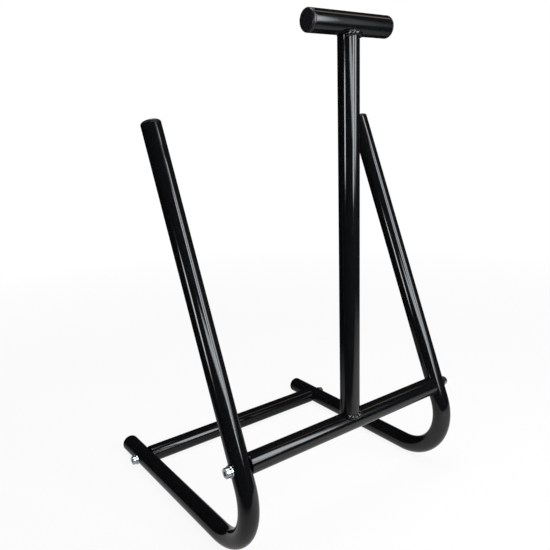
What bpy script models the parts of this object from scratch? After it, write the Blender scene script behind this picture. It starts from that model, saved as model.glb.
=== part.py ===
"""Washing stand: two bent tube legs, two bolted cross tubes, and a welded post with a carrying handle.

Metres, +Z up. The origin is on the floor in the middle of the footprint. The post and its handle stand
towards the front, -Y, and the legs run back towards +Y. Left is -X and right is +X.
"""

from math import cos, pi, radians, sin

import bmesh
import bpy
from mathutils import Matrix, Vector

# Tube stock, shared by every tube
TUBE_DIAMETER = 0.0200
TUBE_WALL = 0.0015

# Bent legs: the spacing of their planes, and sizes along a leg's axis. The upright is measured from the
# front cross tube's axis, which crosses it a little above the end of the bend.
LEG_SPACING = 0.2713
BEND_RADIUS = 0.0556
UPRIGHT_LEAN = radians(22.6)
UPRIGHT_LENGTH = 0.3270
CROSS_ABOVE_BEND = 0.0166

# Cross tubes, post and handle. The setback runs from the post's axis to the rear cross tube's axis, and
# the overhang from there to the leg's open end. A saddle is the notch that seats one tube on another.
REAR_CROSS_SETBACK = 0.2224
REAR_OVERHANG = 0.0406
HANDLE_HEIGHT = 0.4840
HANDLE_LENGTH = 0.0895
SADDLE_DEPTH = 0.0020

# Plastic tube plugs: a round-edged flange on a hollow stem with ring fins
PLUG_FLANGE = 0.0032
PLUG_EDGE = 0.0022
PLUG_STEM = 0.0120
PLUG_CORE_DIAMETER = 0.0124
PLUG_CUP_DIAMETER = 0.0094
FIN_COUNT = 3
FIN_START = 0.0015
FIN_PITCH = 0.0032

# Low socket head screws, washers and threaded inserts
SCREW_DIAMETER = 0.0060
HEAD_DIAMETER = 0.0100
HEAD_HEIGHT = 0.0040
HEAD_CHAMFER = 0.0005
SOCKET_ACROSS_FLATS = 0.0040
SOCKET_DEPTH = 0.0023
THREAD_ENGAGEMENT = 0.0080
WASHER_DIAMETER = 0.0120
WASHER_THICKNESS = 0.0016
INSERT_LENGTH = 0.0120
INSERT_SETBACK = 0.0005

# Weld beads, a long one at the front and a short one at the back of each end of the post. A bead's
# centre stands off the corner that it fills; towards its middle it rises and tucks in under the tube.
WELD_RADIUS = 0.0028
WELD_STANDOFF = 0.0006
WELD_RISE = 0.0026
WELD_TUCK = 0.0010
WELD_FRONT_HALF_ARC = radians(54)
WELD_BACK_HALF_ARC = radians(18)
WELD_END_TAPER = 0.55

# Clearance between pieces that touch, and how finely round shapes are divided
FIT_GAP = 0.0003
TUBE_SIDES = 24
CUT_SIDES = 48
SMALL_SIDES = 24
BEND_STEPS = 8
LEAN_STEPS = 2
EDGE_STEPS = 3
WELD_SIDES = 10
WELD_STEPS = 14
SHARP_ANGLE = radians(35)

# Sizes that follow from the ones above. A tube's flats face left, right, up and down.
TUBE_RADIUS = TUBE_DIAMETER / 2
TUBE_FLAT = TUBE_RADIUS * cos(pi / TUBE_SIDES)
BORE_RADIUS = TUBE_RADIUS - TUBE_WALL
CUT_RADIUS = TUBE_RADIUS + FIT_GAP
SADDLE_CUT_LENGTH = 4 * TUBE_DIAMETER
SCREW_RADIUS = SCREW_DIAMETER / 2
SCREW_HOLE_RADIUS = SCREW_RADIUS + FIT_GAP
LEG_X = LEG_SPACING / 2
LEG_AXIS_Z = TUBE_FLAT
UPRIGHT_AXIS = Vector((0, sin(UPRIGHT_LEAN), cos(UPRIGHT_LEAN)))

# Places along Y, first measured from the post, then from the middle of the footprint
BEND_BEHIND_POST = BEND_RADIUS * cos(UPRIGHT_LEAN) - CROSS_ABOVE_BEND * sin(UPRIGHT_LEAN)
FRONT_OF_POST = BEND_BEHIND_POST - BEND_RADIUS - TUBE_FLAT
LEG_END_BEHIND_POST = REAR_CROSS_SETBACK + REAR_OVERHANG
BACK_OF_POST = LEG_END_BEHIND_POST + FIT_GAP + PLUG_FLANGE
POST_Y = -(FRONT_OF_POST + BACK_OF_POST) / 2
BEND_Y = POST_Y + BEND_BEHIND_POST
REAR_CROSS_Y = POST_Y + REAR_CROSS_SETBACK
LEG_END_Y = POST_Y + LEG_END_BEHIND_POST

# Heights
BEND_Z = LEG_AXIS_Z + BEND_RADIUS
FRONT_CROSS_Z = BEND_Z + BEND_RADIUS * sin(UPRIGHT_LEAN) + CROSS_ABOVE_BEND * cos(UPRIGHT_LEAN)
POST_BOTTOM_Z = FRONT_CROSS_Z + TUBE_RADIUS - SADDLE_DEPTH
POST_TOP_Z = HANDLE_HEIGHT - TUBE_RADIUS + SADDLE_DEPTH

# Places along X, measured from a leg's axis, outwards for the screw head and inwards for the insert
WASHER_SEAT = TUBE_FLAT + FIT_GAP
HEAD_SEAT = WASHER_SEAT + WASHER_THICKNESS + FIT_GAP
INSERT_FACE = TUBE_FLAT + FIT_GAP + INSERT_SETBACK
SCREW_LENGTH = HEAD_SEAT + INSERT_FACE + THREAD_ENGAGEMENT

ALONG_X = (0, pi / 2, 0)
ALONG_Z = (0, 0, 0)


def clear_scene():
    for item in list(bpy.data.objects):
        bpy.data.objects.remove(item, do_unlink=True)


def finish(name, colour, roughness, metallic):
    """A plain material of one colour, roughness and metallic value."""
    material = bpy.data.materials.new(name)
    material.use_nodes = True
    shader = material.node_tree.nodes["Principled BSDF"]
    shader.inputs["Base Color"].default_value = (*colour, 1)
    shader.inputs["Roughness"].default_value = roughness
    shader.inputs["Metallic"].default_value = metallic
    return material


def mesh_from(shape, name):
    """Turns a bmesh into a smooth mesh with its faces pointing out."""
    bmesh.ops.recalc_face_normals(shape, faces=shape.faces)
    mesh = bpy.data.meshes.new(name)
    shape.to_mesh(mesh)
    shape.free()
    mesh.shade_smooth()
    mesh.set_sharp_from_angle(angle=SHARP_ANGLE)
    return mesh


def place(name, mesh, material, parent, location=(0, 0, 0), rotation=(0, 0, 0)):
    """Adds one piece of the stand."""
    piece = bpy.data.objects.new(name, mesh)
    piece.location = location
    piece.rotation_euler = rotation
    piece.parent = parent
    if not mesh.materials:
        mesh.materials.append(material)
    bpy.context.scene.collection.objects.link(piece)
    return piece


def add_cutter(name, radius, length, parent, location=(0, 0, 0), rotation=(0, 0, 0), sides=CUT_SIDES):
    """Adds a hidden rod, centred on its location, that cuts other pieces."""
    shape = bmesh.new()
    bmesh.ops.create_cone(
        shape, cap_ends=True, segments=sides, radius1=radius, radius2=radius, depth=length
    )
    cutter = bpy.data.objects.new(name, mesh_from(shape, name))
    cutter.location = location
    cutter.rotation_euler = rotation
    cutter.parent = parent
    cutter.hide_render = True
    cutter.display_type = "WIRE"
    bpy.context.scene.collection.objects.link(cutter)
    return cutter


def cut(piece, *cutters):
    for cutter in cutters:
        boolean = piece.modifiers.new(cutter.name, "BOOLEAN")
        boolean.operation = "DIFFERENCE"
        boolean.solver = "EXACT"
        boolean.object = cutter


def open_rings(shape, matrix):
    """Starts a tube: the outer and the inner circle of its first end, with a flat at each quarter."""
    half_step = Matrix.Rotation(pi / TUBE_SIDES, 4, "Z")
    for radius in (TUBE_RADIUS, BORE_RADIUS):
        bmesh.ops.create_circle(shape, segments=TUBE_SIDES, radius=radius, matrix=matrix @ half_step)
    return shape.edges[:]


def extrude_rings(shape, edges, offset):
    """Extrudes the edges by an offset, and gives the edges at the far end."""
    grown = bmesh.ops.extrude_edge_only(shape, edges=edges)["geom"]
    far = {item for item in grown if isinstance(item, bmesh.types.BMVert)}
    bmesh.ops.translate(shape, verts=list(far), vec=offset)
    return [
        item for item in grown if isinstance(item, bmesh.types.BMEdge) and far.issuperset(item.verts)
    ]


def bend_rings(shape, edges, centre, angle, steps):
    """Spins the edges about an axis along X, and gives the edges at the far end."""
    points = {point for edge in edges for point in edge.verts}
    spun = bmesh.ops.spin(
        shape, geom=[*points, *edges], cent=centre, axis=(1, 0, 0), angle=angle, steps=steps
    )
    return [item for item in spun["geom_last"] if isinstance(item, bmesh.types.BMEdge)]


def straight_tube_mesh(name, length):
    """A tube along Z, centred on its origin."""
    shape = bmesh.new()
    first = open_rings(shape, Matrix.Translation((0, 0, -length / 2)))
    last = extrude_rings(shape, first, (0, 0, length))
    for end in (first, last):
        bmesh.ops.triangle_fill(shape, use_beauty=True, edges=end)
    return mesh_from(shape, name)


def leg_mesh(name):
    """A floor run from the rear forwards, a bend through the upright, and the leaning upright."""
    shape = bmesh.new()
    facing_back = Matrix.Rotation(pi / 2, 4, "X")
    first = open_rings(shape, Matrix.Translation((0, LEG_END_Y, LEG_AXIS_Z)) @ facing_back)
    centre = (0, BEND_Y, BEND_Z)
    last = extrude_rings(shape, first, (0, BEND_Y - LEG_END_Y, 0))
    last = bend_rings(shape, last, centre, -pi / 2, BEND_STEPS)
    last = bend_rings(shape, last, centre, -UPRIGHT_LEAN, LEAN_STEPS)
    last = extrude_rings(shape, last, UPRIGHT_AXIS * (CROSS_ABOVE_BEND + UPRIGHT_LENGTH))
    for end in (first, last):
        bmesh.ops.triangle_fill(shape, use_beauty=True, edges=end)
    return mesh_from(shape, name)


def turned_mesh(name, profile, closed=False):
    """Turns a profile of (radius, height) points about Z. A closed profile makes a ring."""
    shape = bmesh.new()
    points = [shape.verts.new((radius, 0, height)) for radius, height in profile]
    pairs = list(zip(points, points[1:]))
    if closed:
        pairs.append((points[-1], points[0]))
    edges = [shape.edges.new(pair) for pair in pairs]
    bmesh.ops.spin(
        shape, geom=[*points, *edges], cent=(0, 0, 0), axis=(0, 0, 1), angle=2 * pi, steps=SMALL_SIDES
    )
    bmesh.ops.remove_doubles(shape, verts=shape.verts, dist=FIT_GAP / 100)
    return mesh_from(shape, name)


def plug_profile():
    """A flange with a rounded edge, then a stem with ring fins, hollow like a cup from its inner end."""
    edge = min(PLUG_EDGE, PLUG_FLANGE)
    core = PLUG_CORE_DIAMETER / 2
    cup = PLUG_CUP_DIAMETER / 2
    fin = BORE_RADIUS - FIT_GAP
    profile = [(0, PLUG_FLANGE)]
    for step in range(EDGE_STEPS + 1):
        angle = pi / 2 * step / EDGE_STEPS
        profile.append(
            (TUBE_RADIUS - edge + edge * sin(angle), PLUG_FLANGE - edge + edge * cos(angle))
        )
    profile += [(TUBE_RADIUS, 0), (core, 0)]
    for step in range(FIN_COUNT):
        top = -FIN_START - step * FIN_PITCH
        profile += [(core, top), (fin, top), (core, top - FIN_PITCH / 2)]
    profile += [(core, -PLUG_STEM), (cup, -PLUG_STEM), (cup, 0), (0, 0)]
    return profile


def screw_profile():
    """A cylinder head with a chamfered rim, over its shank."""
    head = HEAD_DIAMETER / 2
    return [
        (0, HEAD_HEIGHT),
        (head - HEAD_CHAMFER, HEAD_HEIGHT),
        (head, HEAD_HEIGHT - HEAD_CHAMFER),
        (head, 0),
        (SCREW_RADIUS, 0),
        (SCREW_RADIUS, -SCREW_LENGTH),
        (0, -SCREW_LENGTH),
    ]


def ring_profile(inner, outer, thickness):
    return [(inner, thickness), (outer, thickness), (outer, 0), (inner, 0)]


def weld_mesh(name, half_arc):
    """A bead at the front of the post's top end, climbing the tube above it towards its middle."""
    shape = bmesh.new()
    seat = Matrix.Translation((0, -TUBE_RADIUS - WELD_STANDOFF, -WELD_STANDOFF))
    start = Matrix.Rotation(-half_arc, 4, "Z") @ seat @ Matrix.Rotation(pi / 2, 4, "Y")
    bmesh.ops.create_circle(shape, segments=WELD_SIDES, radius=WELD_RADIUS, matrix=start)
    first = shape.edges[:]
    spun = bmesh.ops.spin(
        shape,
        geom=[*shape.verts, *first],
        cent=(0, 0, 0),
        axis=(0, 0, 1),
        angle=2 * half_arc,
        steps=WELD_STEPS,
    )
    last = [item for item in spun["geom_last"] if isinstance(item, bmesh.types.BMEdge)]
    for edges, turn in ((first, -half_arc), (last, half_arc)):
        outwards = Vector((cos(turn), sin(turn), 0)) * (1 if turn > 0 else -1)
        rim = extrude_rings(shape, edges, outwards * WELD_RADIUS / 2)
        points = list({point for edge in rim for point in edge.verts})
        middle = sum((point.co for point in points), Vector()) / len(points)
        bmesh.ops.scale(
            shape, verts=points, vec=(WELD_END_TAPER,) * 3, space=Matrix.Translation(-middle)
        )
        bmesh.ops.contextual_create(shape, geom=rim)
    for point in shape.verts:
        reach = point.co.xy.length
        facing = (point.co.y / reach) ** 2
        point.co.xy *= 1 - WELD_TUCK * facing / reach
        point.co.z += WELD_RISE * facing
    return mesh_from(shape, name)


def add_tubes(stand, paint):
    """The post, the handle, the cross tubes and the legs, with their saddles and screw holes."""
    handle_place = (0, POST_Y, HANDLE_HEIGHT)
    front_place = (0, POST_Y, FRONT_CROSS_Z)
    rear_place = (0, REAR_CROSS_Y, LEG_AXIS_Z)
    across = LEG_SPACING + 4 * TUBE_DIAMETER
    cross_length = LEG_SPACING - 2 * (TUBE_RADIUS - SADDLE_DEPTH)
    post_length = POST_TOP_Z - POST_BOTTOM_Z
    post_place = (0, POST_Y, (POST_TOP_Z + POST_BOTTOM_Z) / 2)

    handle_clearance = add_cutter("handle_clearance", CUT_RADIUS, across, stand, handle_place, ALONG_X)
    front_clearance = add_cutter("front_clearance", CUT_RADIUS, across, stand, front_place, ALONG_X)
    post_clearance = add_cutter(
        "post_clearance", CUT_RADIUS, post_length + 2 * FIT_GAP, stand, post_place, ALONG_Z
    )

    handle_mesh = straight_tube_mesh("handle_tube", HANDLE_LENGTH)
    place("handle_tube", handle_mesh, paint, stand, handle_place, ALONG_X)
    post_mesh = straight_tube_mesh("centre_post", post_length)
    post = place("centre_post", post_mesh, paint, stand, post_place, ALONG_Z)
    cut(post, handle_clearance, front_clearance)

    cross_mesh = straight_tube_mesh("cross_tube", cross_length)
    front_cross = place("front_cross_tube", cross_mesh, paint, stand, front_place, ALONG_X)
    rear_cross = place("rear_cross_tube", cross_mesh, paint, stand, rear_place, ALONG_X)
    front_drill = add_cutter("front_drill", SCREW_HOLE_RADIUS, across, stand, front_place, ALONG_X)
    rear_drill = add_cutter("rear_drill", SCREW_HOLE_RADIUS, across, stand, rear_place, ALONG_X)

    bent_mesh = leg_mesh("leg_tube")
    for side, sign in (("left", -1), ("right", 1)):
        leg = place(f"leg_tube_{side}", bent_mesh, paint, stand, (sign * LEG_X, 0, 0))
        cut(leg, front_drill, rear_drill)
        upright = add_cutter(
            f"upright_clearance_{side}",
            CUT_RADIUS,
            SADDLE_CUT_LENGTH,
            stand,
            (sign * LEG_X, POST_Y, FRONT_CROSS_Z),
            (-UPRIGHT_LEAN, 0, 0),
        )
        cut(front_cross, upright)
        floor_run = add_cutter(
            f"floor_run_clearance_{side}",
            CUT_RADIUS,
            SADDLE_CUT_LENGTH,
            stand,
            (sign * LEG_X, REAR_CROSS_Y, LEG_AXIS_Z),
            (pi / 2, 0, 0),
        )
        cut(rear_cross, floor_run)
    return handle_clearance, front_clearance, post_clearance


def add_plugs(stand, plastic):
    """A plug in each open tube end, its flange seated on the rim."""
    mesh = turned_mesh("tube_plug", plug_profile())
    upright_end = Vector((0, POST_Y, FRONT_CROSS_Z)) + UPRIGHT_AXIS * (UPRIGHT_LENGTH + FIT_GAP)
    for side, sign in (("left", -1), ("right", 1)):
        aside = Vector((sign * LEG_X, 0, 0))
        handle_end = (sign * (HANDLE_LENGTH / 2 + FIT_GAP), POST_Y, HANDLE_HEIGHT)
        leg_end = aside + Vector((0, LEG_END_Y + FIT_GAP, LEG_AXIS_Z))
        place(f"handle_plug_{side}", mesh, plastic, stand, handle_end, (0, sign * pi / 2, 0))
        place(f"leg_plug_{side}", mesh, plastic, stand, leg_end, (-pi / 2, 0, 0))
        place(f"upright_plug_{side}", mesh, plastic, stand, aside + upright_end, (-UPRIGHT_LEAN, 0, 0))


def add_fasteners(stand, zinc, steel):
    """At each bolted joint a screw and its washer outside the leg, and an insert in the cross tube's end."""
    socket_radius = SOCKET_ACROSS_FLATS / 2 / cos(pi / 6)
    screw_mesh = turned_mesh("screw", screw_profile())
    washer_mesh = turned_mesh(
        "washer", ring_profile(SCREW_HOLE_RADIUS, WASHER_DIAMETER / 2, WASHER_THICKNESS), closed=True
    )
    insert_mesh = turned_mesh(
        "insert", ring_profile(SCREW_HOLE_RADIUS, BORE_RADIUS - FIT_GAP, INSERT_LENGTH), closed=True
    )
    for end, y, z in (("front", POST_Y, FRONT_CROSS_Z), ("rear", REAR_CROSS_Y, LEG_AXIS_Z)):
        for side, sign in (("left", -1), ("right", 1)):
            outwards = (0, sign * pi / 2, 0)
            head_place = (sign * (LEG_X + HEAD_SEAT), y, z)
            washer_place = (sign * (LEG_X + WASHER_SEAT), y, z)
            insert_place = (sign * (LEG_X - INSERT_FACE - INSERT_LENGTH), y, z)
            screw = place(f"screw_{end}_{side}", screw_mesh, zinc, stand, head_place, outwards)
            socket = add_cutter(
                f"socket_{end}_{side}", socket_radius, 2 * SOCKET_DEPTH, screw, (0, 0, HEAD_HEIGHT), sides=6
            )
            cut(screw, socket)
            place(f"washer_{end}_{side}", washer_mesh, zinc, stand, washer_place, outwards)
            place(f"insert_{end}_{side}", insert_mesh, steel, stand, insert_place, outwards)


def add_welds(stand, paint, handle_clearance, front_clearance, post_clearance):
    """Two beads under the handle, and the same two turned over on the front cross tube."""
    front_mesh = weld_mesh("front_bead", WELD_FRONT_HALF_ARC)
    back_mesh = weld_mesh("back_bead", WELD_BACK_HALF_ARC)
    handle_underside = (0, POST_Y, HANDLE_HEIGHT - TUBE_RADIUS)
    cross_top = (0, POST_Y, FRONT_CROSS_Z + TUBE_RADIUS)
    beads = (
        ("handle_weld_front", front_mesh, handle_underside, (0, 0, 0), handle_clearance),
        ("handle_weld_back", back_mesh, handle_underside, (0, 0, pi), handle_clearance),
        ("foot_weld_front", front_mesh, cross_top, (0, pi, 0), front_clearance),
        ("foot_weld_back", back_mesh, cross_top, (pi, 0, 0), front_clearance),
    )
    for name, mesh, location, rotation, neighbour in beads:
        bead = place(name, mesh, paint, stand, location, rotation)
        cut(bead, neighbour, post_clearance)


def main():
    clear_scene()
    stand = bpy.data.objects.new("washing_stand", None)
    bpy.context.scene.collection.objects.link(stand)
    paint = finish("gloss_black_paint", (0.008, 0.008, 0.009), 0.12, 0.0)
    plastic = finish("black_plastic", (0.012, 0.012, 0.012), 0.45, 0.0)
    zinc = finish("bright_zinc", (0.70, 0.73, 0.75), 0.22, 1.0)
    steel = finish("plain_steel", (0.42, 0.42, 0.43), 0.40, 1.0)
    clearances = add_tubes(stand, paint)
    add_plugs(stand, plastic)
    add_fasteners(stand, zinc, steel)
    add_welds(stand, paint, *clearances)


main()
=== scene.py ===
# %% [markdown]
# Washing stand
#
# This lesson dresses a CAD frame for its picture. The stand is two bent tube legs, two bolted cross tubes
# and a welded post with a carrying handle, all in gloss black. The frame arrives in real metres, so each
# new piece is built where the CAD solid already is. The first step loads the frame and keeps its box,
# because the dressed stand has to stay inside it.

from math import ceil, cos, pi, radians, sin, sqrt

import bmesh
import bpy
from mathutils import Matrix, Vector, noise


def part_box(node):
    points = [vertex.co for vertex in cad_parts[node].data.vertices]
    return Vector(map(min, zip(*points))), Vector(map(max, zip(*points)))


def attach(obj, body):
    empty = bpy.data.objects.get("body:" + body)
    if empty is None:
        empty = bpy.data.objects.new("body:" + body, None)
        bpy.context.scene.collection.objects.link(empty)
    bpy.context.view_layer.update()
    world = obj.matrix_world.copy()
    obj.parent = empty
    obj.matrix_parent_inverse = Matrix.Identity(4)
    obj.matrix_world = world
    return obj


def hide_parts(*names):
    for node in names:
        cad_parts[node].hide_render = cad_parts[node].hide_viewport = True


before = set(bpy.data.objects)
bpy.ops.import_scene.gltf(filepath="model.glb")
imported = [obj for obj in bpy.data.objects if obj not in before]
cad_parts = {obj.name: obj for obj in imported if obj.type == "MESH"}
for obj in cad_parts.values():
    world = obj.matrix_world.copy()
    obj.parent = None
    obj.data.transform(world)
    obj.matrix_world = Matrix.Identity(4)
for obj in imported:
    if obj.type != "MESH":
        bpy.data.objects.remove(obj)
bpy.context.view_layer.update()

# %% [markdown]
# The stand's own sizes
#
# Tube stock is bought by its outer diameter and wall, and a bend by the radius of its centre line, so those
# are written down. Where a piece sits is measured on the frame instead of being typed again: a tube's axis
# runs through the middle of its box.

# %% Stock sizes and measured places
TUBE_DIAMETER = 0.0200
TUBE_WALL = 0.0015
BEND_RADIUS = 0.0556
UPRIGHT_LEAN = radians(22.6)
UPRIGHT_LENGTH = 0.3270
SADDLE_DEPTH = 0.0020

TUBE_RADIUS = TUBE_DIAMETER / 2
BORE_RADIUS = TUBE_RADIUS - TUBE_WALL


def middle_of(node):
    """The middle of a CAD node's box."""
    low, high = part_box(node)
    return (low + high) / 2


POST_Y = middle_of("centre_post").y
HANDLE_Z = middle_of("handle_tube").z
HANDLE_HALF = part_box("handle_tube")[1].x
FRONT_CROSS_Z = middle_of("front_cross_tube").z
REAR_CROSS_Y = middle_of("rear_cross_tube").y
LEG_X = middle_of("leg_tube_right").x
LEG_AXIS_Z = middle_of("rear_cross_tube").z
LEG_END_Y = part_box("leg_tube_left")[1].y

BEND_Z = LEG_AXIS_Z + BEND_RADIUS
CROSS_ABOVE_BEND = (FRONT_CROSS_Z - BEND_Z - BEND_RADIUS * sin(UPRIGHT_LEAN)) / cos(UPRIGHT_LEAN)
BEND_Y = POST_Y + BEND_RADIUS * cos(UPRIGHT_LEAN) - CROSS_ABOVE_BEND * sin(UPRIGHT_LEAN)
print(f"post at y {POST_Y:.4f}, handle at z {HANDLE_Z:.4f}, legs at x {LEG_X:.4f}, bend at y {BEND_Y:.4f}")

# %% [markdown]
# The camera
#
# The photograph was taken from the front left, from a little below the handle and tilted down, with the
# near leg close to the lens. A camera can be aimed with a Track To constraint, but this one also leans
# slightly, so its three axes are worked out from yaw, pitch and roll and put straight into its matrix.

# %% Place the camera
CAMERA_PLACE = Vector((-0.3861, -0.5305, 0.4006))
CAMERA_YAW = radians(-36.088)
CAMERA_PITCH = radians(14.194)
CAMERA_ROLL = radians(-2.038)
CAMERA_LENS = 38.861

forward = Vector(
    (
        -sin(CAMERA_YAW) * cos(CAMERA_PITCH),
        cos(CAMERA_YAW) * cos(CAMERA_PITCH),
        -sin(CAMERA_PITCH),
    )
)
level_right = Vector((cos(CAMERA_YAW), sin(CAMERA_YAW), 0))
level_up = level_right.cross(forward)
camera_right = cos(CAMERA_ROLL) * level_right + sin(CAMERA_ROLL) * level_up
camera_up = cos(CAMERA_ROLL) * level_up - sin(CAMERA_ROLL) * level_right

scene = bpy.context.scene
camera = bpy.data.objects.new("camera", bpy.data.cameras.new("camera"))
camera.data.lens = CAMERA_LENS
axes = Matrix((camera_right, camera_up, -forward)).transposed()
camera.matrix_world = Matrix.Translation(CAMERA_PLACE) @ axes.to_4x4()
scene.collection.objects.link(camera)
scene.camera = camera
scene.view_settings.view_transform = "Standard"
print(f"camera {(CAMERA_PLACE - Vector((0, POST_Y, HANDLE_Z))).length:.2f} m from the handle")

# %% [markdown]
# Colours and nodes
#
# Colours are easiest to read as the hex values of a paint chart. Those are sRGB, and Blender's sockets want
# linear light, so one function converts them. A second one adds a shader node together with its settings,
# socket values and links, which keeps every material below to a few lines.

# %% Helpers for materials
MM = 0.001


def linear(hex_colour):
    """Turns an sRGB hex colour into the linear RGBA that a socket takes."""
    parts = [int(hex_colour[i : i + 2], 16) / 255 for i in (1, 3, 5)]
    return (*(p / 12.92 if p <= 0.04045 else ((p + 0.055) / 1.055) ** 2.4 for p in parts), 1)


def add_node(tree, kind, values=None, links=None, **settings):
    """Adds a node: settings are its own options, values fill its sockets, and links feed them."""
    node = tree.nodes.new(kind)
    for option, choice in settings.items():
        setattr(node, option, choice)
    for socket, value in (values or {}).items():
        node.inputs[socket].default_value = value
    for socket, source in (links or {}).items():
        tree.links.new(source, node.inputs[socket])
    return node


def new_material(name):
    """An empty node material and its tree."""
    material = bpy.data.materials.new(name)
    material.use_nodes = True
    material.node_tree.nodes.clear()
    return material, material.node_tree


# A Mix node in colour mode keeps its two colours and its result in these sockets.
MIX_FIRST, MIX_SECOND, MIX_RESULT = 6, 7, 2
print(f"mid grey #808080 is {linear('#808080')[0]:.3f} in linear light")

# %% [markdown]
# Gloss black stoving enamel
#
# The tubes are dipped or sprayed with black enamel and baked. Baking lets the film flow out, so it mirrors
# lamps sharply, but it never gets quite flat: there is a fine orange peel a few millimetres wide and a
# slower sag along the tube. A plain black with low roughness would look like glass, so two noise textures
# bend the reflections, and a third makes the gloss slightly uneven where hands have polished or dulled it.
# Under the legs the film is rubbed by the floor. Enamel is a clear resin round a pigment, with an IOR of
# about 1.5.

# %% Enamel material
PEEL_WIDTH = 2.6 * MM
SAG_WIDTH = 22 * MM
SMUDGE_WIDTH = 14 * MM
RUBBED_HEIGHT = 1.2 * MM


def stoved_enamel(name, peel_height, sag_height):
    """Black enamel over steel, its film uneven by two heights in metres."""
    material, tree = new_material(name)
    place = add_node(tree, "ShaderNodeTexCoord").outputs["Object"]
    peel = add_node(tree, "ShaderNodeTexNoise", {"Scale": 1 / PEEL_WIDTH, "Detail": 1.0}, {"Vector": place})
    sag = add_node(tree, "ShaderNodeTexNoise", {"Scale": 1 / SAG_WIDTH, "Detail": 0.0}, {"Vector": place})
    smudge = add_node(
        tree, "ShaderNodeTexNoise", {"Scale": 1 / SMUDGE_WIDTH, "Detail": 5.0}, {"Vector": place}
    )
    pigment = add_node(
        tree,
        "ShaderNodeMix",
        {MIX_FIRST: linear("#0a0a0b"), MIX_SECOND: linear("#0f1011")},
        {"Factor": smudge.outputs["Fac"]},
        data_type="RGBA",
    )
    gloss = add_node(
        tree,
        "ShaderNodeMapRange",
        {"From Min": 0.3, "From Max": 0.7, "To Min": 0.05, "To Max": 0.11},
        {"Value": smudge.outputs["Fac"]},
    )
    height = add_node(tree, "ShaderNodeSeparateXYZ", {}, {"Vector": place})
    rubbed = add_node(
        tree,
        "ShaderNodeMapRange",
        {"From Min": RUBBED_HEIGHT, "From Max": 0.0, "To Min": 0.0, "To Max": 0.3},
        {"Value": height.outputs["Z"]},
    )
    dulled = add_node(
        tree,
        "ShaderNodeMath",
        {},
        {0: gloss.outputs["Result"], 1: rubbed.outputs["Result"]},
        operation="ADD",
    )
    slow = add_node(tree, "ShaderNodeBump", {"Distance": sag_height}, {"Height": sag.outputs["Fac"]})
    fine = add_node(
        tree,
        "ShaderNodeBump",
        {"Distance": peel_height},
        {"Height": peel.outputs["Fac"], "Normal": slow.outputs["Normal"]},
    )
    shader = add_node(
        tree,
        "ShaderNodeBsdfPrincipled",
        {"IOR": 1.5},
        {
            "Base Color": pigment.outputs[MIX_RESULT],
            "Roughness": dulled.outputs["Value"],
            "Normal": fine.outputs["Normal"],
        },
    )
    add_node(tree, "ShaderNodeOutputMaterial", {}, {"Surface": shader.outputs["BSDF"]})
    return material


tube_enamel = stoved_enamel("gloss_black_stoving_enamel", peel_height=0.006 * MM, sag_height=0.05 * MM)
weld_enamel = stoved_enamel("gloss_black_enamel_over_weld", peel_height=0.03 * MM, sag_height=0.08 * MM)
print("enamel:", tube_enamel.name, weld_enamel.name)

# %% [markdown]
# Rings make everything
#
# Each piece of this stand was drawn, turned or bent, so each can be described as a row of rings: a tube is
# rings along a path, a screw is rings of changing radius along its axis. One function joins neighbouring
# rings with faces. It is an alternative to adding primitives and modifiers, and it gives clean, closed
# meshes with every edge where it is wanted.

# %% Rings into a mesh
TUBE_SIDES = 96
MERGE_DISTANCE = 1e-6
SHARP_ANGLE = radians(40)


def circle(radius, height, sides=TUBE_SIDES):
    """One ring about the Z axis."""
    return [
        Vector((radius * cos(2 * pi * i / sides), radius * sin(2 * pi * i / sides), height))
        for i in range(sides)
    ]


def skin(name, rings, closed=False, place=Matrix.Identity(4)):
    """A smooth mesh through rings of points. A closed one joins its last ring to its first."""
    shape = bmesh.new()
    rows = [[shape.verts.new(place @ point) for point in ring] for ring in rings]
    pairs = list(zip(rows, rows[1:]))
    if closed:
        pairs.append((rows[-1], rows[0]))
    for near, far in pairs:
        for i in range(len(near)):
            j = (i + 1) % len(near)
            shape.faces.new((near[i], near[j], far[j], far[i]))
    bmesh.ops.remove_doubles(shape, verts=shape.verts, dist=MERGE_DISTANCE)
    bmesh.ops.recalc_face_normals(shape, faces=shape.faces)
    mesh = bpy.data.meshes.new(name)
    shape.to_mesh(mesh)
    shape.free()
    mesh.shade_smooth()
    mesh.set_sharp_from_angle(angle=SHARP_ANGLE)
    return mesh


def fit(mesh, node, material):
    """Puts a finished mesh in the place of a CAD node, on the stand's one body."""
    piece = bpy.data.objects.new(mesh.name, mesh)
    mesh.materials.append(material)
    scene.collection.objects.link(piece)
    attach(piece, "root")
    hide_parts(node)
    print(f"{piece.name}: {len(mesh.polygons)} faces in place of {node}")
    return piece


print(f"a tube's ring has {TUBE_SIDES} points, {1000 * pi * TUBE_DIAMETER / TUBE_SIDES:.2f} mm apart")

# %% [markdown]
# Straight tubes
#
# The handle, the post and the two cross tubes are cut from the same stock. A cut end has a wall that can be
# seen, and paint rounds its edges, so each end gets a small rounded rim. A support ring beside each rim
# keeps the smooth shading of the rim from spreading along the tube, where gloss paint would show it. Where
# one tube seats on another its end is notched to a saddle. The notch could be a Boolean, but the height of
# a saddle at each point of the wall is a short formula, which leaves smooth rows of faces.

# %% Straight tube function
RIM_ROUND = 0.0004
RIM_STEPS = 4
RIM_SUPPORT = 0.0008
SEAT_GAP = 0.00005

RIM = [(TUBE_RADIUS, RIM_SUPPORT)]
RIM += [
    (
        TUBE_RADIUS - RIM_ROUND * (1 - cos(pi / 2 * i / RIM_STEPS)),
        RIM_ROUND * (1 - sin(pi / 2 * i / RIM_STEPS)),
    )
    for i in range(RIM_STEPS + 1)
]
RIM += [(BORE_RADIUS + RIM_ROUND, 0), (BORE_RADIUS, RIM_ROUND), (BORE_RADIUS, RIM_SUPPORT)]


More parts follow.
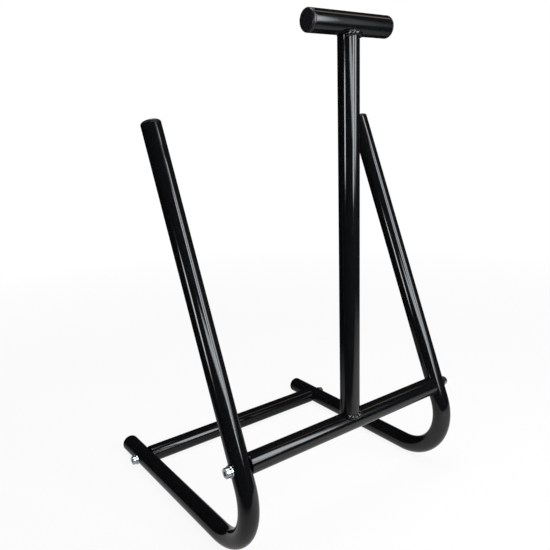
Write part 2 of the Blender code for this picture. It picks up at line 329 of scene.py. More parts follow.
def straight_tube(name, place, bottom, top):
    """A tube along Z, then placed. bottom and top give an end's height at a point of its wall."""
    rings = []
    for radius, inset in RIM:
        rings.append([Vector((p.x, p.y, top(p) - inset)) for p in circle(radius, 0)])
    for radius, inset in reversed(RIM):
        rings.append([Vector((p.x, p.y, bottom(p) + inset)) for p in circle(radius, 0)])
    return skin(name, rings, closed=True, place=place)


def saddle(distance, offset):
    """How far along a tube's axis its saddled end is, for a tube that crosses at a distance."""
    reach = TUBE_RADIUS + SEAT_GAP
    notch = sqrt(max(reach**2 - offset**2, 0))
    return distance - max(notch, TUBE_RADIUS - SADDLE_DEPTH)


print(f"each end's rim has {len(RIM)} rings, rounded by {1000 * RIM_ROUND:.1f} mm")

# %% Handle, post and cross tubes
ALONG_X = Matrix.Rotation(pi / 2, 4, "Y")

handle_place = Matrix.Translation((0, POST_Y, HANDLE_Z)) @ ALONG_X
handle_mesh = straight_tube(
    "painted_handle_tube", handle_place, lambda p: -HANDLE_HALF, lambda p: HANDLE_HALF
)
fit(handle_mesh, "handle_tube", tube_enamel)

post_mesh = straight_tube(
    "painted_centre_post",
    Matrix.Translation((0, POST_Y, FRONT_CROSS_Z)),
    lambda p: -saddle(0, p.y),
    lambda p: saddle(HANDLE_Z - FRONT_CROSS_Z, p.y),
)
fit(post_mesh, "centre_post", tube_enamel)


# A cross tube is drawn along Z and then turned along X, so its own -X becomes up.
def front_seat(p):
    """Where the front cross tube meets a leaning upright."""
    return saddle(LEG_X, p.y * cos(UPRIGHT_LEAN) + p.x * sin(UPRIGHT_LEAN))


def rear_seat(p):
    """Where the rear cross tube meets a level floor run."""
    return saddle(LEG_X, p.x)


for end, seat, y, z in (
    ("front", front_seat, POST_Y, FRONT_CROSS_Z),
    ("rear", rear_seat, REAR_CROSS_Y, LEG_AXIS_Z),
):
    cross_mesh = straight_tube(
        f"painted_{end}_cross_tube",
        Matrix.Translation((0, y, z)) @ ALONG_X,
        lambda p: -seat(p),
        seat,
    )
    fit(cross_mesh, f"{end}_cross_tube", tube_enamel)

# %% [markdown]
# Bent legs
#
# One leg is a single tube, bent on a former: a run along the floor, a bend of a little more than a right
# angle, and an upright that leans back. A curve object with a bevel would sweep it too, but it can't have a
# wall and rims, so the rings are set along the path here. The bend gets one ring every two degrees or so,
# because gloss paint shows every flat. Each leg is then drilled for its two screws with a Boolean.

# %% Leg path
FLOOR_RUN = LEG_END_Y - BEND_Y
BEND_ANGLE = pi / 2 + UPRIGHT_LEAN
BEND_LENGTH = BEND_RADIUS * BEND_ANGLE
LEG_LENGTH = FLOOR_RUN + BEND_LENGTH + CROSS_ABOVE_BEND + UPRIGHT_LENGTH
BEND_RINGS = 60
HOLE_MARGIN = 0.007


def leg_ring(side_x, radius, travel):
    """The ring at a distance along the leg, measured from its rear end."""
    turn = min(max((travel - FLOOR_RUN) / BEND_RADIUS, 0), BEND_ANGLE)
    outwards = Vector((0, -sin(turn), -cos(turn)))
    onwards = Vector((0, -cos(turn), sin(turn)))
    straight = min(travel - FLOOR_RUN, 0) + max(travel - FLOOR_RUN - BEND_LENGTH, 0)
    centre = Vector((side_x, BEND_Y, BEND_Z)) + BEND_RADIUS * outwards + straight * onwards
    return [centre + Vector((p.x, 0, 0)) + p.y * outwards for p in circle(radius, 0)]


rear_hole = LEG_END_Y - REAR_CROSS_Y
front_hole = LEG_LENGTH - UPRIGHT_LENGTH
stations = [rear_hole - HOLE_MARGIN, rear_hole + HOLE_MARGIN]
stations += [FLOOR_RUN + BEND_LENGTH * i / BEND_RINGS for i in range(BEND_RINGS + 1)]
stations += [front_hole - HOLE_MARGIN, front_hole + HOLE_MARGIN]
print(f"leg: {1000 * LEG_LENGTH:.0f} mm of tube, bent through {BEND_ANGLE * 180 / pi:.1f} degrees")

# %% Legs, drilled for their screws
SCREW_RADIUS = 0.0030
HOLE_CLEARANCE = 0.0003
HOLE_RADIUS = SCREW_RADIUS + HOLE_CLEARANCE
DRILL_LENGTH = 2 * TUBE_DIAMETER


def drill(piece, x, y, z):
    """Cuts a hole along X through both walls of a leg."""
    rod_place = Matrix.Translation((x, y, z)) @ ALONG_X
    ends = [circle(0, -DRILL_LENGTH / 2), circle(HOLE_RADIUS, -DRILL_LENGTH / 2)]
    ends += [circle(HOLE_RADIUS, DRILL_LENGTH / 2), circle(0, DRILL_LENGTH / 2)]
    rod = bpy.data.objects.new("drill", skin("drill", ends, place=rod_place))
    scene.collection.objects.link(rod)
    boolean = piece.modifiers.new("drill", "BOOLEAN")
    boolean.solver = "EXACT"
    boolean.object = rod
    with bpy.context.temp_override(object=piece):
        bpy.ops.object.modifier_apply(modifier="drill")
    bpy.data.objects.remove(rod)
    piece.data.set_sharp_from_angle(angle=SHARP_ANGLE)


for side, side_x in (("left", -LEG_X), ("right", LEG_X)):
    rings = [leg_ring(side_x, radius, inset) for radius, inset in reversed(RIM)]
    rings += [leg_ring(side_x, TUBE_RADIUS, travel) for travel in stations]
    rings += [leg_ring(side_x, radius, LEG_LENGTH - inset) for radius, inset in RIM]
    rings += [leg_ring(side_x, BORE_RADIUS, travel) for travel in reversed(stations)]
    leg_mesh = skin(f"painted_leg_tube_{side}", rings, closed=True)
    leg = fit(leg_mesh, f"leg_tube_{side}", tube_enamel)
    drill(leg, side_x, POST_Y, FRONT_CROSS_Z)
    drill(leg, side_x, REAR_CROSS_Y, LEG_AXIS_Z)

# %% [markdown]
# Moulded plugs
#
# Every open tube end is closed by a push-in plug of black polyethylene. It is moulded in a spark-eroded
# steel tool, which leaves a fine matt grain, so it looks softer and greyer than the enamel beside it. Its
# flange has a rounded edge and a very slightly crowned face; below that is a hollow stem with fins that
# grip the bore. Polyethylene has an IOR of about 1.5 too, and it is the roughness that sets it apart.

# %% Plastic material
GRAIN_WIDTH = 0.45 * MM  # real grain is nearer 0.1 mm, too fine for this picture
GRAIN_HEIGHT = 0.012 * MM
FLOW_WIDTH = 6 * MM


def moulded_plastic(name):
    """Black polyethylene with a fine tool grain and faint flow marks."""
    material, tree = new_material(name)
    place = add_node(tree, "ShaderNodeTexCoord").outputs["Object"]
    grain = add_node(
        tree, "ShaderNodeTexNoise", {"Scale": 1 / GRAIN_WIDTH, "Detail": 2.0}, {"Vector": place}
    )
    flow = add_node(tree, "ShaderNodeTexNoise", {"Scale": 1 / FLOW_WIDTH, "Detail": 3.0}, {"Vector": place})
    tint = add_node(
        tree,
        "ShaderNodeMix",
        {MIX_FIRST: linear("#18181a"), MIX_SECOND: linear("#202022")},
        {"Factor": flow.outputs["Fac"]},
        data_type="RGBA",
    )
    sheen = add_node(
        tree,
        "ShaderNodeMapRange",
        {"From Min": 0.3, "From Max": 0.7, "To Min": 0.24, "To Max": 0.34},
        {"Value": flow.outputs["Fac"]},
    )
    bump = add_node(tree, "ShaderNodeBump", {"Distance": GRAIN_HEIGHT}, {"Height": grain.outputs["Fac"]})
    shader = add_node(
        tree,
        "ShaderNodeBsdfPrincipled",
        {"IOR": 1.5},
        {
            "Base Color": tint.outputs[MIX_RESULT],
            "Roughness": sheen.outputs["Result"],
            "Normal": bump.outputs["Normal"],
        },
    )
    add_node(tree, "ShaderNodeOutputMaterial", {}, {"Surface": shader.outputs["BSDF"]})
    return material


plug_plastic = moulded_plastic("moulded_black_polyethylene")
print("plastic:", plug_plastic.name)

# %% Plug profile
PLUG_FLANGE = 0.0032
PLUG_EDGE = 0.0022
PLUG_CROWN = 0.0003
PLUG_STEM = 0.0120
PLUG_CORE = 0.0062
PLUG_CUP = 0.0047
FIN_COUNT = 3
FIN_START = 0.0015
FIN_PITCH = 0.0032
FIN_TIP = 0.0003
PLUG_GAP = 0.0003
EDGE_STEPS = 8
CROWN_STEPS = 4


def plug_profile():
    """(radius, height) from the crowned face over the rounded edge, then down the stem and up its cup."""
    face = TUBE_RADIUS - PLUG_EDGE
    profile = []
    for i in range(CROWN_STEPS + 1):
        radius = face * i / CROWN_STEPS
        profile.append((radius, PLUG_FLANGE - PLUG_CROWN * (radius / face) ** 2))
    edge_height = PLUG_EDGE - PLUG_CROWN
    for i in range(1, EDGE_STEPS + 1):
        angle = pi / 2 * i / EDGE_STEPS
        height = PLUG_FLANGE - PLUG_CROWN - edge_height * (1 - cos(angle))
        profile.append((face + PLUG_EDGE * sin(angle), height))
    profile += [(TUBE_RADIUS, 0), (PLUG_CORE, 0)]
    for i in range(FIN_COUNT):
        top = -FIN_START - i * FIN_PITCH
        profile += [(PLUG_CORE, top), (BORE_RADIUS - PLUG_GAP, top)]
        profile += [(BORE_RADIUS - PLUG_GAP, top - FIN_TIP), (PLUG_CORE, top - FIN_PITCH / 2)]
    profile += [(PLUG_CORE, -PLUG_STEM), (PLUG_CUP, -PLUG_STEM), (PLUG_CUP, 0), (0, 0)]
    return profile


plug_rings = [circle(radius, height) for radius, height in plug_profile()]
print(f"a plug is {len(plug_rings)} rings, {1000 * (PLUG_FLANGE + PLUG_STEM):.1f} mm long")

# %% Plugs in every tube end
upright_end = Vector((0, POST_Y, FRONT_CROSS_Z))
upright_end += (UPRIGHT_LENGTH + PLUG_GAP) * Vector((0, sin(UPRIGHT_LEAN), cos(UPRIGHT_LEAN)))
for side, sign in (("left", -1), ("right", 1)):
    aside = Matrix.Translation((sign * LEG_X, 0, 0))
    plug_places = {
        "handle": Matrix.Translation((sign * (HANDLE_HALF + PLUG_GAP), POST_Y, HANDLE_Z))
        @ Matrix.Rotation(sign * pi / 2, 4, "Y"),
        "leg": aside
        @ Matrix.Translation((0, LEG_END_Y + PLUG_GAP, LEG_AXIS_Z))
        @ Matrix.Rotation(-pi / 2, 4, "X"),
        "upright": aside @ Matrix.Translation(upright_end) @ Matrix.Rotation(-UPRIGHT_LEAN, 4, "X"),
    }
    for end, place in plug_places.items():
        plug_mesh = skin(f"moulded_{end}_plug_{side}", plug_rings, place=place)
        fit(plug_mesh, f"{end}_plug_{side}", plug_plastic)

# %% [markdown]
# Bright zinc fasteners
#
# The legs are held by low socket head screws with a plain washer each. They are steel, zinc plated and
# given a blue passivation, which looks like pale silver with a cold tint. The plating follows the forged
# head and the stamped washer below it, so its gloss is soft and patchy. As a metal it takes its colour from
# the reflection, and the IOR stays at its default.

# %% Zinc plate
PLATING_WIDTH = 1.6 * MM
STAMP_WIDTH = 0.5 * MM
STAMP_HEIGHT = 0.006 * MM


def plated_zinc(name):
    """Bright zinc plate, cold and slightly patchy."""
    material, tree = new_material(name)
    place = add_node(tree, "ShaderNodeTexCoord").outputs["Object"]
    patch = add_node(
        tree, "ShaderNodeTexNoise", {"Scale": 1 / PLATING_WIDTH, "Detail": 3.0}, {"Vector": place}
    )
    stamp = add_node(
        tree, "ShaderNodeTexNoise", {"Scale": 1 / STAMP_WIDTH, "Detail": 2.0}, {"Vector": place}
    )
    tint = add_node(
        tree,
        "ShaderNodeMix",
        {MIX_FIRST: linear("#c3ccd4"), MIX_SECOND: linear("#d9dcde")},
        {"Factor": patch.outputs["Fac"]},
        data_type="RGBA",
    )
    gloss = add_node(
        tree,
        "ShaderNodeMapRange",
        {"From Min": 0.3, "From Max": 0.7, "To Min": 0.18, "To Max": 0.34},
        {"Value": patch.outputs["Fac"]},
    )
    bump = add_node(tree, "ShaderNodeBump", {"Distance": STAMP_HEIGHT}, {"Height": stamp.outputs["Fac"]})
    shader = add_node(
        tree,
        "ShaderNodeBsdfPrincipled",
        {"Metallic": 1.0},
        {
            "Base Color": tint.outputs[MIX_RESULT],
            "Roughness": gloss.outputs["Result"],
            "Normal": bump.outputs["Normal"],
        },
    )
    add_node(tree, "ShaderNodeOutputMaterial", {}, {"Surface": shader.outputs["BSDF"]})
    return material


fastener_zinc = plated_zinc("blue_passivated_zinc_plate")
print("plating:", fastener_zinc.name)

# %% [markdown]
# Turned steel inserts
#
# Each screw pulls on a threaded insert inside the end of a cross tube. It is cut from bar on a lathe and
# left bare, so it is a greyer metal than the zinc, with fine rings where the tool passed. It could get a
# finer mesh as the other pieces do, but nothing of it shows, so it keeps its CAD mesh and only gets its
# material.

# %% Turned steel
TURNING_PITCH = 0.5 * MM  # real tool marks are nearer 0.1 mm, too fine to show
TURNING_HEIGHT = 0.01 * MM
WAVE_PERIOD = 2 * pi / 20  # the spacing of a Wave texture's bands at a scale of 1


def turned_steel(name):
    """Plain steel with the rings that a lathe tool leaves round a part that lies along X."""
    material, tree = new_material(name)
    place = add_node(tree, "ShaderNodeTexCoord").outputs["Object"]
    marks = add_node(
        tree,
        "ShaderNodeTexWave",
        {"Scale": WAVE_PERIOD / TURNING_PITCH, "Distortion": 0.6},
        {"Vector": place},
        bands_direction="X",
    )
    gloss = add_node(
        tree, "ShaderNodeMapRange", {"To Min": 0.3, "To Max": 0.45}, {"Value": marks.outputs["Fac"]}
    )
    tint = add_node(
        tree,
        "ShaderNodeMix",
        {MIX_FIRST: linear("#9fa0a2"), MIX_SECOND: linear("#b4b5b6")},
        {"Factor": marks.outputs["Fac"]},
        data_type="RGBA",
    )
    bump = add_node(tree, "ShaderNodeBump", {"Distance": TURNING_HEIGHT}, {"Height": marks.outputs["Fac"]})
    shader = add_node(
        tree,
        "ShaderNodeBsdfPrincipled",
        {"Metallic": 1.0},
        {
            "Base Color": tint.outputs[MIX_RESULT],
            "Roughness": gloss.outputs["Result"],
            "Normal": bump.outputs["Normal"],
        },
    )
    add_node(tree, "ShaderNodeOutputMaterial", {}, {"Surface": shader.outputs["BSDF"]})
    return material


insert_steel = turned_steel("lathe_turned_steel")
for end in ("front", "rear"):
    for side in ("left", "right"):
        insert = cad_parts[f"insert_{end}_{side}"]
        insert.data.materials.clear()
        insert.data.materials.append(insert_steel)
print("inserts:", insert_steel.name)

# %% [markdown]
# Screws and washers
#
# A screw head is turned and its hexagon socket is pressed in. Rings can do both: in the socket the ring's
# radius follows a hexagon, and outside it the rings are round. The washer is a stamped ring, with one edge
# rounded by the punch.

# %% Screw and washer rings
HEAD_RADIUS = 0.0050
HEAD_HEIGHT = 0.0040
HEAD_ROUND = 0.0006
SOCKET_FLATS = 0.0040
SOCKET_DEPTH = 0.0023
SOCKET_LEAD = 0.0003
SCREW_POINT = 0.0008
WASHER_ROUND = 0.0003
ROUND_STEPS = 4


def hexagon(height):
    """One ring of the socket, with as many points as the round rings have."""
    ring = []
    for point in circle(1, height):
        off_flat = (point.xy.angle_signed(Vector((1, 0))) % (pi / 3)) - pi / 6
        reach = SOCKET_FLATS / 2 / cos(off_flat)
        ring.append(Vector((point.x * reach, point.y * reach, height)))
    return ring


def rounded(radius, height, size):
    """The outer quarter circle from a flat top to a round side."""
    rings = []
    for i in range(ROUND_STEPS + 1):
        angle = pi / 2 * i / ROUND_STEPS
        rings.append(circle(radius - size * (1 - sin(angle)), height - size * (1 - cos(angle))))
    return rings


def screw_rings(length):
    """From the middle of the socket out over the head and down the shank."""
    floor = HEAD_HEIGHT - SOCKET_DEPTH
    corner = SOCKET_FLATS / sqrt(3) + SOCKET_LEAD / 2
    rings = [circle(0, floor - SOCKET_LEAD), hexagon(floor), hexagon(HEAD_HEIGHT - SOCKET_LEAD)]
    rings += [circle(corner, HEAD_HEIGHT)] + rounded(HEAD_RADIUS, HEAD_HEIGHT, HEAD_ROUND)
    rings += [circle(HEAD_RADIUS, 0), circle(SCREW_RADIUS, 0)]
    rings += [circle(SCREW_RADIUS, SCREW_POINT - length), circle(SCREW_RADIUS - SCREW_POINT, -length)]
    rings += [circle(0, -length)]
    return rings


def washer_rings(outer, thickness):
    """A flat ring, closed on itself."""
    rings = rounded(outer, thickness, WASHER_ROUND)
    rings += [circle(outer, 0), circle(HOLE_RADIUS, 0), circle(HOLE_RADIUS, thickness)]
    return rings


print(f"screw head {1000 * 2 * HEAD_RADIUS:.0f} mm across, socket {1000 * SOCKET_FLATS:.0f} mm across")

# %% Screws and washers in their places
for end in ("front", "rear"):
    for side, sign in (("left", -1), ("right", 1)):
        outwards = Matrix.Rotation(sign * pi / 2, 4, "Y")
        screw, washer = f"screw_{end}_{side}", f"washer_{end}_{side}"
        low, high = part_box(screw)
        axis = middle_of(screw)
        head_x = (high.x if sign > 0 else low.x) - sign * HEAD_HEIGHT
        screw_place = Matrix.Translation((head_x, axis.y, axis.z)) @ outwards
        screw_mesh = skin(f"plated_{screw}", screw_rings(high.x - low.x - HEAD_HEIGHT), place=screw_place)
        fit(screw_mesh, screw, fastener_zinc)
        low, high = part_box(washer)
        washer_place = Matrix.Translation((low.x if sign > 0 else high.x, axis.y, axis.z)) @ outwards
        rings = washer_rings((high.y - low.y) / 2, high.x - low.x)
        washer_mesh = skin(f"plated_{washer}", rings, closed=True, place=washer_place)
        fit(washer_mesh, washer, fastener_zinc)

# %% [markdown]
# Weld beads
#
# The post is welded to the handle and to the front cross tube by hand, a long bead in front and a short one
# behind. A bead freezes in small overlapping ripples, like a pushed-over row of coins, and the paint runs
# over them and catches the light in specks. A displacement texture could ripple it, but the shape has to
# last without its material, so each ring's radius carries the ripple. The bead runs into both tubes, as
# melted metal does.

# %% Weld beads
WELD_RADIUS = 0.0028
WELD_STANDOFF = 0.0006
WELD_RISE = 0.0026
WELD_TUCK = 0.0010
WELD_END = 0.0014
RIPPLE_PITCH = 0.0046
RIPPLE_HEIGHT = 0.0006
RIPPLE_BOW = 0.45
RINGS_PER_RIPPLE = 24
BEAD_SIDES = 32
UNEVEN_HEIGHT = 0.00018
UNEVEN_WIDTH = 0.003


def bead_ring(turn, size, travel):
    """One ring of a bead, at a turn about the post, its size going to nothing at the bead's ends."""
    facing = cos(turn) ** 2
    out = TUBE_RADIUS + WELD_STANDOFF - WELD_TUCK * facing
    rise = WELD_RISE * facing - WELD_STANDOFF
    radial = Vector((sin(turn), -cos(turn), 0))
    ring = []
    for i in range(BEAD_SIDES):
        angle = 2 * pi * i / BEAD_SIDES
        bow = RIPPLE_BOW * cos(angle + pi / 4)
        ripple = abs(sin(pi * (travel / RIPPLE_PITCH + bow)))
        spot = Vector((travel, cos(angle) * WELD_RADIUS, sin(angle) * WELD_RADIUS))
        uneven = noise.noise(spot / UNEVEN_WIDTH)
        radius = size * (WELD_RADIUS - RIPPLE_HEIGHT * (1 - ripple) + UNEVEN_HEIGHT * uneven)
        ring.append(radial * (out + radius * cos(angle)) + Vector((0, 0, rise + radius * sin(angle))))
    return ring


def weld_bead(name, half_arc, place):
    """A bead at the top of the post, from one side of its front to the other, then placed."""
    reach = TUBE_RADIUS + WELD_STANDOFF
    half_length = half_arc * reach + WELD_END
    count = ceil(2 * half_length / RIPPLE_PITCH * RINGS_PER_RIPPLE)
    rings = []
    for i in range(count + 1):
        travel = half_length * (2 * i / count - 1)
        from_end = min((half_length - abs(travel)) / (2 * WELD_END), 1)
        rings.append(bead_ring(travel / reach, sqrt(1 - (1 - from_end) ** 2), travel))
    return skin(name, rings, place=place)


handle_underside = Matrix.Translation((0, POST_Y, HANDLE_Z - TUBE_RADIUS))
cross_top = Matrix.Translation((0, POST_Y, FRONT_CROSS_Z + TUBE_RADIUS))
FRONT_HALF_ARC = radians(54)
BACK_HALF_ARC = radians(18)
for node, half_arc, place in (
    ("handle_weld_front", FRONT_HALF_ARC, handle_underside),
    ("handle_weld_back", BACK_HALF_ARC, handle_underside @ Matrix.Rotation(pi, 4, "Z")),
    ("foot_weld_front", FRONT_HALF_ARC, cross_top @ Matrix.Rotation(pi, 4, "Y")),
    ("foot_weld_back", BACK_HALF_ARC, cross_top @ Matrix.Rotation(pi, 4, "X")),
):
    fit(weld_bead(f"rippled_{node}", half_arc, place), node, weld_enamel)

# %% [markdown]
# White paper and a white world
#
# The picture is a cut-out on white. White paper under studio lamps falls off to grey behind the object, so
# the paper shows its own white to the camera, and to reflections, and adds a share of real shading near the
# stand, which keeps a soft shadow there. The world beyond the paper works in the same way: white where it
# is looked at, and only a dim grey as a light. A curved backdrop would be the other way, but then the view
# from behind would need one too.

# %% Paper floor
FIBRE_CLUMP = 4 * MM  # single fibres are too fine to show
SHADED_RADIUS = 0.5
PLAIN_RADIUS = 1.3
OWN_WHITE = 0.9
FLOOR_RADIUS = 30.0
FLOOR_DROP = 0.0002  # the round tubes reach 0.1 mm below the CAD's flats


def looked_at(tree):
    """1 where a ray from the camera, a mirror or glass arrives, and 0 for light between matt surfaces."""
    ray = add_node(tree, "ShaderNodeLightPath")
    total = ray.outputs["Is Camera Ray"]
    for kind in ("Is Glossy Ray", "Is Transmission Ray"):
        either = add_node(tree, "ShaderNodeMath", {}, {0: total, 1: ray.outputs[kind]}, operation="MAXIMUM")
        total = either.outputs["Value"]
    return total


def studio_paper(name):
    """Matt white paper that shows as white to the camera and to reflections."""
    material, tree = new_material(name)
    place = add_node(tree, "ShaderNodeNewGeometry").outputs["Position"]
    fibre = add_node(
        tree, "ShaderNodeTexNoise", {"Scale": 1 / FIBRE_CLUMP, "Detail": 4.0}, {"Vector": place}
    )
    tint = add_node(
        tree,
        "ShaderNodeMix",
        {MIX_FIRST: linear("#eeeeec"), MIX_SECOND: linear("#f2f2f0")},
        {"Factor": fibre.outputs["Fac"]},
        data_type="RGBA",
    )
    distance = add_node(tree, "ShaderNodeVectorMath", {}, {0: place}, operation="LENGTH")
    share = add_node(
        tree,
        "ShaderNodeMapRange",
        {"From Min": SHADED_RADIUS, "From Max": PLAIN_RADIUS, "To Min": OWN_WHITE, "To Max": 1.0},
        {"Value": distance.outputs["Value"]},
    )
    factor = add_node(
        tree,
        "ShaderNodeMath",
        {},
        {0: looked_at(tree), 1: share.outputs["Result"]},
        operation="MULTIPLY",
    )
    paper = add_node(tree, "ShaderNodeBsdfDiffuse", {}, {"Color": tint.outputs[MIX_RESULT]})
    white = add_node(tree, "ShaderNodeEmission", {"Color": (1, 1, 1, 1), "Strength": 1.0})
    surface = add_node(
        tree,
        "ShaderNodeMixShader",
        {},
        {0: factor.outputs["Value"], 1: paper.outputs["BSDF"], 2: white.outputs["Emission"]},
    )
    add_node(tree, "ShaderNodeOutputMaterial", {}, {"Surface": surface.outputs["Shader"]})
    return material


def add_stage(name, rings, material):
    """A piece of the studio, which isn't part of the stand."""
    mesh = skin(name, rings, place=Matrix.Translation((0, POST_Y, 0)))
    item = bpy.data.objects.new(name, mesh)
    mesh.materials.append(material)
    scene.collection.objects.link(item)
    return item


floor_rings = [circle(FLOOR_RADIUS, -FLOOR_DROP), circle(0, -FLOOR_DROP)]
add_stage("paper_floor", floor_rings, studio_paper("matt_white_studio_paper"))
print(f"paper floor {2 * FLOOR_RADIUS:.0f} m across")

# %% White world
world = bpy.data.worlds.new("white_studio")
world.use_nodes = True
sky = world.node_tree
sky.nodes.clear()
dim = add_node(sky, "ShaderNodeBackground", {"Color": linear("#545456")})
bright = add_node(sky, "ShaderNodeBackground", {"Color": linear("#ffffff")})
either = add_node(
    sky,
    "ShaderNodeMixShader",
    {},
    {0: looked_at(sky), 1: dim.outputs["Background"], 2: bright.outputs["Background"]},
)
add_node(sky, "ShaderNodeOutputWorld", {}, {"Surface": either.outputs["Shader"]})
scene.world = world
print("world:", world.name)

# %% [markdown]
# Felt tent
#
# Gloss black shows whatever stands round it, and under a white sky it would look grey. Photographers shoot
# it in a tent of black felt, with bare paper round its feet, so that only the lamps and that paper show on
# the tubes. This tent is seen by reflections alone: the camera looks through it, and it throws no shadow
# and takes no light. One material does for the walls and the ground: in two soft patches, a large one in
# front and a small one beside the left leg, it turns transparent and the paper shows. A straight edge
# ends both towards the camera. How much paper shows fades softly from each patch's middle, and that fade
# is painted shade: the tubes reflect the floor darker under and behind the stand, away from the lamps.

# %% Tent of black felt
TENT_RADIUS = 1.6
TENT_WALL = 1.3
TENT_TOP = 2.2
FELT_DROP = 0.00015
# painted shade: each patch's share of paper fades from its core to its radius, darkening the reflected
# floor
PATCHES = (
    {"centre": (0.13, -0.34, 0.0), "core": 0.08, "radius": 0.62, "bare": 0.85},
    {"centre": (-0.23, 0.07, 0.0), "core": 0.06, "radius": 0.22, "bare": 0.35},
)
PATCH_EDGE_FACING = (0.772, 0.635, 0.0)
PATCH_EDGE_START = -0.35
PATCH_EDGE_END = -0.275


def black_felt(name):
    """Matt black felt, with two soft-edged patches where the paper below shows; their fade is painted
    shade.
    """
    material, tree = new_material(name)
    place = add_node(tree, "ShaderNodeNewGeometry").outputs["Position"]
    fibre = add_node(
        tree, "ShaderNodeTexNoise", {"Scale": 1 / FIBRE_CLUMP, "Detail": 3.0}, {"Vector": place}
    )
    tint = add_node(
        tree,
        "ShaderNodeMix",
        {MIX_FIRST: linear("#1c1c1d"), MIX_SECOND: linear("#242425")},
        {"Factor": fibre.outputs["Fac"]},
        data_type="RGBA",
    )
    # painted shade: the share of paper that reflections see fades from each patch's middle
    painted_shade_fades = []
    for patch in PATCHES:
        away = add_node(
            tree, "ShaderNodeVectorMath", {1: patch["centre"]}, {0: place}, operation="DISTANCE"
        )
        fade = add_node(
            tree,
            "ShaderNodeMapRange",
            {
                "From Min": patch["core"],
                "From Max": patch["radius"],
                "To Min": patch["bare"],
                "To Max": 0.0,
            },
            {"Value": away.outputs["Value"]},
        )
        painted_shade_fades.append(fade.outputs["Result"])
    both = add_node(tree, "ShaderNodeMath", {}, dict(enumerate(painted_shade_fades)), operation="ADD")
    behind = add_node(
        tree, "ShaderNodeVectorMath", {1: PATCH_EDGE_FACING}, {0: place}, operation="DOT_PRODUCT"
    )
    edge = add_node(
        tree,
        "ShaderNodeMapRange",
        {"From Min": PATCH_EDGE_START, "From Max": PATCH_EDGE_END},
        {"Value": behind.outputs["Value"]},
    )
    bare = add_node(
        tree,
        "ShaderNodeMath",
        {},
        {0: both.outputs["Value"], 1: edge.outputs["Result"]},
        operation="MULTIPLY",
    )
    felt = add_node(tree, "ShaderNodeBsdfDiffuse", {}, {"Color": tint.outputs[MIX_RESULT]})
    opening = add_node(tree, "ShaderNodeBsdfTransparent")
    surface = add_node(
        tree,
        "ShaderNodeMixShader",
        {},
        {0: bare.outputs["Value"], 1: felt.outputs["BSDF"], 2: opening.outputs["BSDF"]},
    )
    add_node(tree, "ShaderNodeOutputMaterial", {}, {"Surface": surface.outputs["Shader"]})
    return material


tent_rings = [circle(0, -FELT_DROP), circle(TENT_RADIUS, -FELT_DROP), circle(TENT_RADIUS, TENT_WALL)]
tent_rings += [circle(TENT_RADIUS / 2, TENT_TOP), circle(0, TENT_TOP)]
tent = add_stage("felt_tent", tent_rings, black_felt("matt_black_felt"))
tent.visible_camera = False
tent.visible_diffuse = False
tent.visible_transmission = False
tent.visible_shadow = False
print(f"tent {2 * TENT_RADIUS:.1f} m across and {TENT_TOP:.1f} m high")

# %% [markdown]
# Soft boxes
#
# On gloss black the lamps are the picture: each bright line along a tube is the reflection of one soft box.
# A flat lighting frame at the front carries four: two tall narrow boxes for the double line on the post and
# the lines on the handle and the cross tubes, a slanted one that spreads the line at the top of the post,
# and a wide dim one that lets those lines fade. A small box at the left makes the thin line on the post's
# left side, and boxes overhead and at the right fill in. Sizes and places are set so that the lines start
# and stop where the photograph shows them. The cloth of a soft box is brightest in the middle and dims over
# its rim, which the nodes do with a rounded distance from the middle. An area lamp's radiance is its watts
# over pi times its area, so the function takes radiance, which is what a reflection shows.

# %% Soft box function
RIM_START = 0.4  # the share of the way to the rim at which the light starts to fade


def around(azimuth, distance, height):
    """A place round the post. Azimuth is in degrees from straight in front, positive to the right."""
    turn = radians(azimuth)
    return Vector((distance * sin(turn), POST_Y - distance * cos(turn), height))


def glow(tree, width, height):
    """Cloth light that fades from a bright middle over a rounded rim."""
    rim = min(width, height) / 2
    spot = add_node(tree, "ShaderNodeNewGeometry").outputs["Parametric"]
    steps = (
        ("SUBTRACT", (0.5, 0.5, 0)),
        ("MULTIPLY", (width, height, 0)),
        ("ABSOLUTE", (0, 0, 0)),
        ("SUBTRACT", (width / 2 - rim, height / 2 - rim, 0)),
        ("MAXIMUM", (0, 0, 0)),
    )
    for operation, amount in steps:
        step = add_node(tree, "ShaderNodeVectorMath", {1: amount}, {0: spot}, operation=operation)
        spot = step.outputs["Vector"]
    off_middle = add_node(tree, "ShaderNodeVectorMath", {}, {0: spot}, operation="LENGTH")
    fade = add_node(
        tree,
        "ShaderNodeMapRange",
        {"From Min": RIM_START * rim, "From Max": rim, "To Min": 1.0, "To Max": 0.0},
        {"Value": off_middle.outputs["Value"]},
        interpolation_type="SMOOTHSTEP",
    )
    cloth = add_node(tree, "ShaderNodeEmission", {}, {"Strength": fade.outputs["Result"]})
    add_node(tree, "ShaderNodeOutputLight", {}, {"Surface": cloth.outputs["Emission"]})


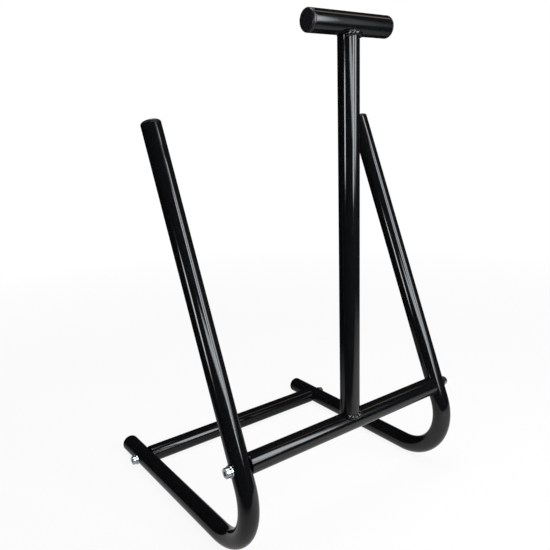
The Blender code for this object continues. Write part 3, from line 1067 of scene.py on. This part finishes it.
def hang_soft_box(name, place, facing, width, height, radiance, colour, roll=0.0):
    """A soft box that the camera doesn't see. Radiance is that of its middle."""
    lamp = bpy.data.lights.new(name, "AREA")
    lamp.shape = "RECTANGLE"
    lamp.size = width
    lamp.size_y = height
    lamp.energy = pi * width * height * radiance
    lamp.color = linear(colour)[:3]
    lamp.use_nodes = True
    lamp.node_tree.nodes.clear()
    glow(lamp.node_tree, width, height)
    box = bpy.data.objects.new(name, lamp)
    turn = facing.to_track_quat("-Z", "Y").to_matrix().to_4x4()
    box.matrix_world = Matrix.Translation(place) @ turn @ Matrix.Rotation(roll, 4, "Z")
    box.visible_camera = False
    scene.collection.objects.link(box)
    print(f"{name}: {lamp.energy:.1f} W")


print(f"a soft box has its full light over the inner {100 * RIM_START:.0f} percent of its narrow side")

# %% Lamps
COOL, NEUTRAL, WARM = "#f6faff", "#ffffff", "#ffe6cc"
FRAME_TURN = radians(14)
FRAME_DISTANCE = 0.65
FRAME_FACING = Vector((-sin(FRAME_TURN), cos(FRAME_TURN), 0))
FRAME_SIDE = Vector((cos(FRAME_TURN), sin(FRAME_TURN), 0))
TALL_LEAN = radians(-9.5)
SLANT = radians(-19.7)


def on_frame(sideways, height):
    """A place on the flat lighting frame at the front, which faces the post."""
    return Vector((0, POST_Y, height)) - FRAME_DISTANCE * FRAME_FACING + sideways * FRAME_SIDE


# Sizes are in metres. Seen from the front, a negative roll leans a box's top to the right.
for name, place, width, height, radiance, roll in (
    ("outer_tall_box", on_frame(0.232, 0.72), 0.285, 0.90, 8.4, TALL_LEAN),
    ("inner_tall_box", on_frame(-0.075, 0.577), 0.168, 0.725, 12.0, TALL_LEAN),
    ("slanted_soft_box", on_frame(-0.285, 0.465), 0.925, 0.176, 7.8, SLANT),
    ("dim_soft_box", on_frame(0.20, 0.80), 0.62, 1.20, 1.0, 0.0),
):
    hang_soft_box(name, place, FRAME_FACING, width, height, radiance, COOL, roll)

for name, place, aim, width, height, radiance, colour in (
    ("left_soft_box", around(-83, 1.45, 0.40), around(0, 0, 0.40), 0.36, 0.505, 14.0, COOL),
    ("overhead_box", Vector((0, 0, 1.9)), Vector((0, 0, 0)), 1.4, 1.4, 6.0, NEUTRAL),
    ("right_warm_box", around(84, 0.95, 1.40), around(0, 0, 0.3), 0.3, 0.7, 1.3, WARM),
):
    hang_soft_box(name, place, aim - place, width, height, radiance, colour)
